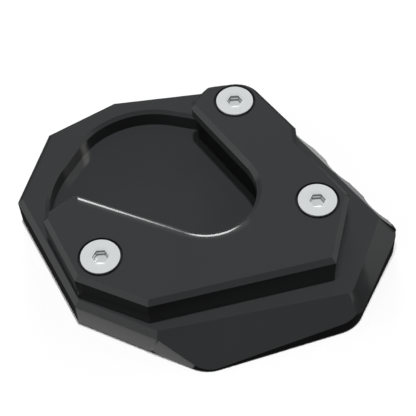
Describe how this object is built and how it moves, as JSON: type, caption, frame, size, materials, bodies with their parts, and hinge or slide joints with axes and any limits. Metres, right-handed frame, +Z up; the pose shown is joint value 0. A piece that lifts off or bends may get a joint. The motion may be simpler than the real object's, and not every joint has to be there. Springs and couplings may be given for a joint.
{
  "type": "kickstand foot enlarger",
  "caption": "Wide flat base plate that spreads a motorbike side stand's load; a C-shaped clamp plate screwed on top traps the stand's foot in a milled pocket.",
  "frame": {"origin": "on the ground, at about the middle of the base plate's underside", "axes": "+Z up from the ground, +X to the right and +Y away from the viewer of the picture, with the pocket's open side to the northwest"},
  "size_m": [0.1097, 0.0941, 0.0212],
  "materials": {
    "base_plate": "fine bead-blasted, black anodised, satin",
    "clamp_plate": "fine bead-blasted, black anodised, satin",
    "screw_steel": "bare stainless, lightly polished"
  },
  "bodies": {
    "root": {"base_plate": "base_plate", "clamp_plate": "clamp_plate", "clamp_screws": "screw_steel"}
  },
  "joints": []
}
